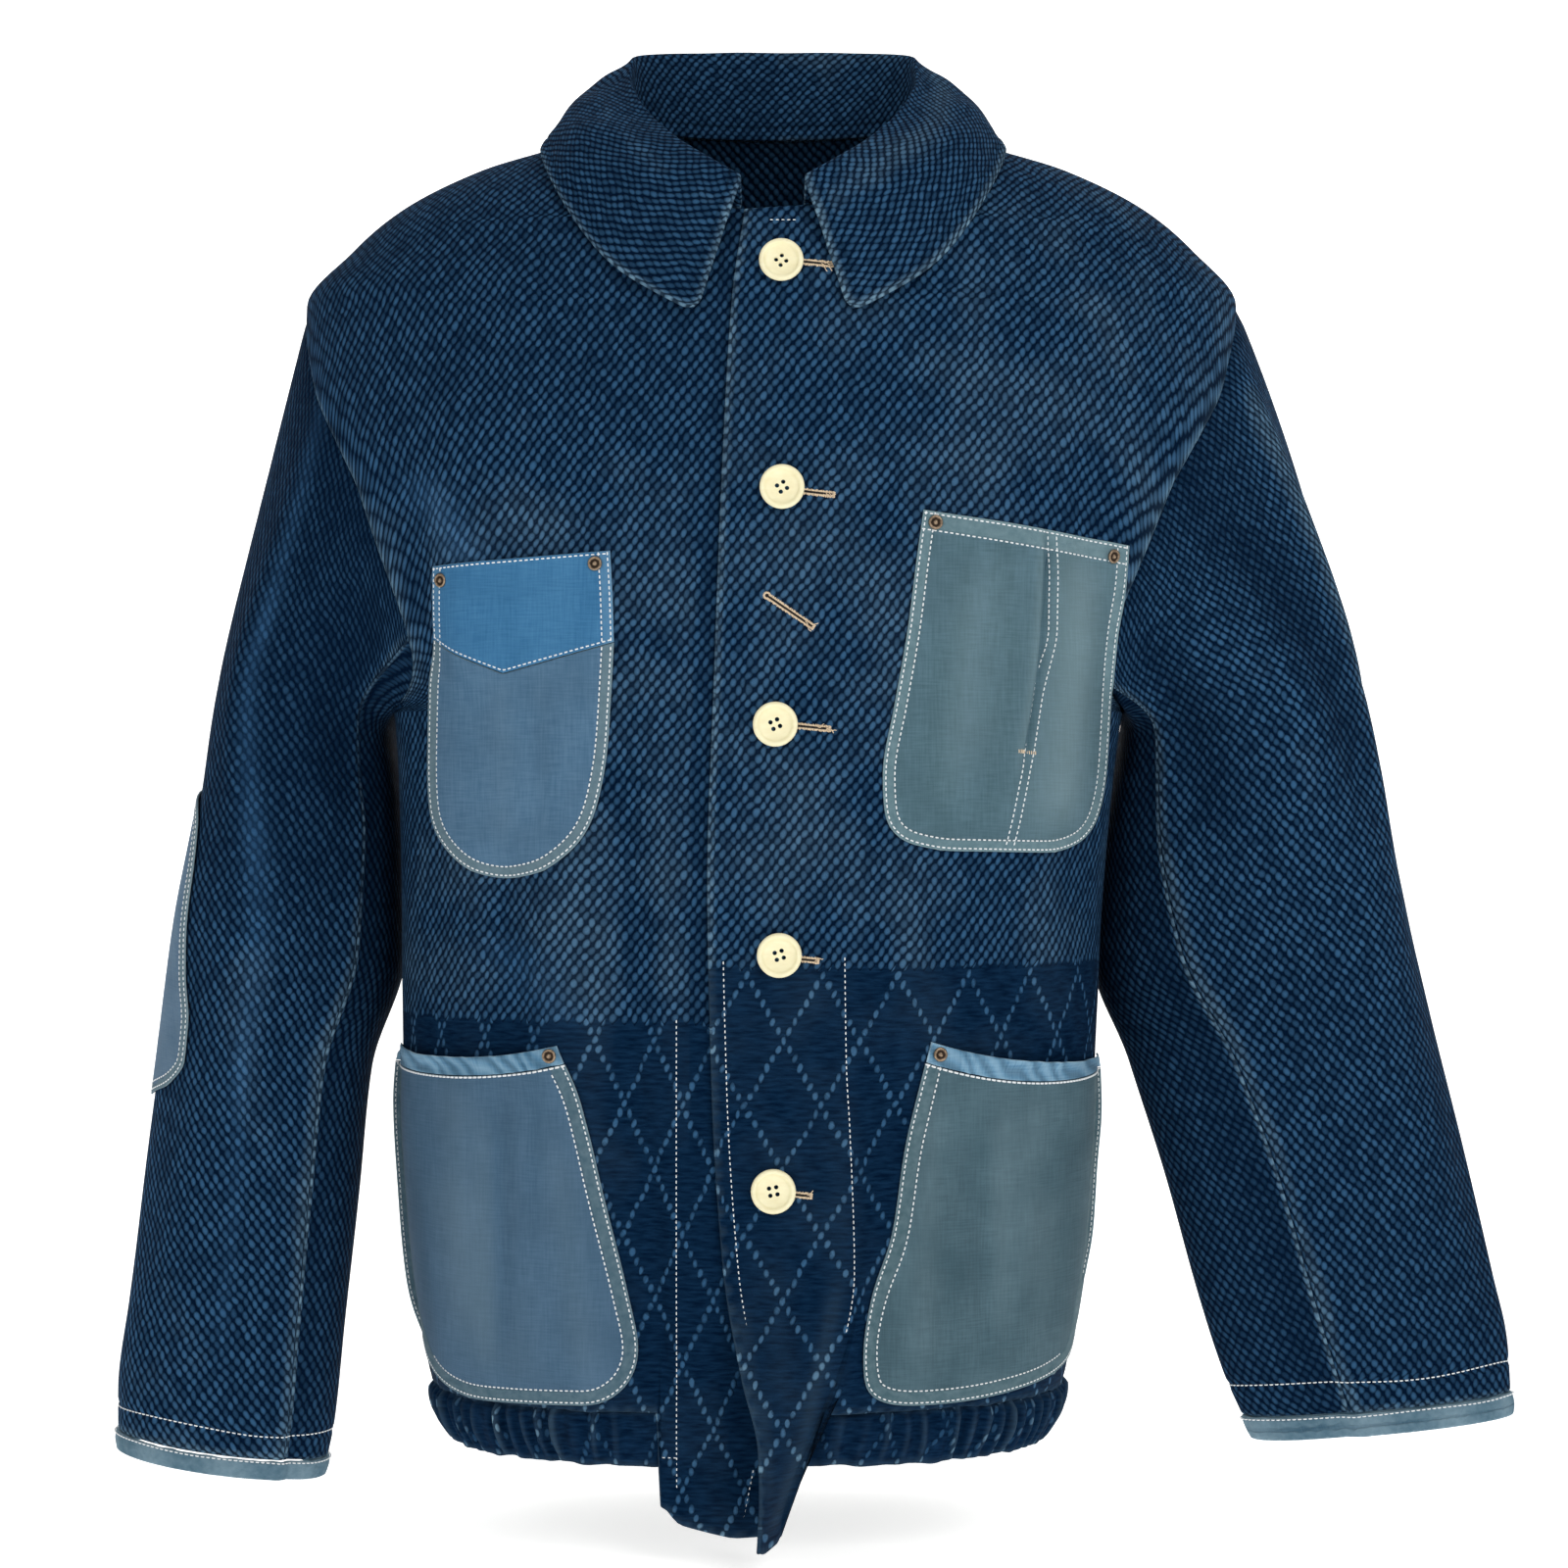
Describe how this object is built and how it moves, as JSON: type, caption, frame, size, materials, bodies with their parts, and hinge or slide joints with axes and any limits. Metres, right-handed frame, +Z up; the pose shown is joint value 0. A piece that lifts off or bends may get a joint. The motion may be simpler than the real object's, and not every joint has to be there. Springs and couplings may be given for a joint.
{
  "type": "kendo jacket",
  "caption": "Worn hollow work jacket of rice-stitch sashiko cloth with a turned collar, buttoned front, patch pockets and a gathered hem casing.",
  "frame": {"origin": "at the height of the shoulder line beside the neck, midway between the side seams, where the shoulders carry it", "axes": "+Z up as worn, -Y out of the front, +X to the wearer's left"},
  "size_m": [0.7239, 0.2816, 0.7705],
  "materials": {
    "back": "matte woven cotton",
    "front_left": "matte woven cotton",
    "front_right": "matte woven cotton",
    "hem_casing": "matte woven cotton",
    "collar": "matte woven cotton",
    "top_sleeve_left": "matte woven cotton",
    "top_sleeve_right": "matte woven cotton",
    "under_sleeve_left": "matte woven cotton",
    "under_sleeve_right": "matte woven cotton",
    "cuff_binding_left": "matte woven cotton",
    "cuff_binding_right": "matte woven cotton",
    "elbow_patch_right": "matte woven cotton",
    "chest_pocket_left": "matte woven cotton",
    "chest_pocket_right": "matte woven cotton",
    "chest_pocket_right_top": "matte woven cotton",
    "hip_pocket_left": "matte woven cotton",
    "hip_pocket_right": "matte woven cotton",
    "hip_pocket_left_band": "matte woven cotton",
    "hip_pocket_right_band": "matte woven cotton",
    "button_1": "polished",
    "button_2": "polished",
    "button_3": "polished",
    "button_4": "polished",
    "button_5": "polished",
    "rivet_chest_right_outer": "aged",
    "rivet_chest_right_inner": "aged",
    "rivet_chest_left_inner": "aged",
    "rivet_chest_left_outer": "aged",
    "rivet_hip_right": "aged",
    "rivet_hip_left": "aged"
  },
  "bodies": {
    "root": {"back": "back", "front_left": "front_left", "front_right": "front_right", "hem_casing": "hem_casing", "collar": "collar", "top_sleeve_left": "top_sleeve_left", "top_sleeve_right": "top_sleeve_right", "under_sleeve_left": "under_sleeve_left", "under_sleeve_right": "under_sleeve_right", "cuff_binding_left": "cuff_binding_left", "cuff_binding_right": "cuff_binding_right", "elbow_patch_right": "elbow_patch_right", "chest_pocket_left": "chest_pocket_left", "chest_pocket_right": "chest_pocket_right", "chest_pocket_right_top": "chest_pocket_right_top", "hip_pocket_left": "hip_pocket_left", "hip_pocket_right": "hip_pocket_right", "hip_pocket_left_band": "hip_pocket_left_band", "hip_pocket_right_band": "hip_pocket_right_band", "button_1": "button_1", "button_2": "button_2", "button_3": "button_3", "button_4": "button_4", "button_5": "button_5", "rivet_chest_right_outer": "rivet_chest_right_outer", "rivet_chest_right_inner": "rivet_chest_right_inner", "rivet_chest_left_inner": "rivet_chest_left_inner", "rivet_chest_left_outer": "rivet_chest_left_outer", "rivet_hip_right": "rivet_hip_right", "rivet_hip_left": "rivet_hip_left"}
  },
  "joints": []
}
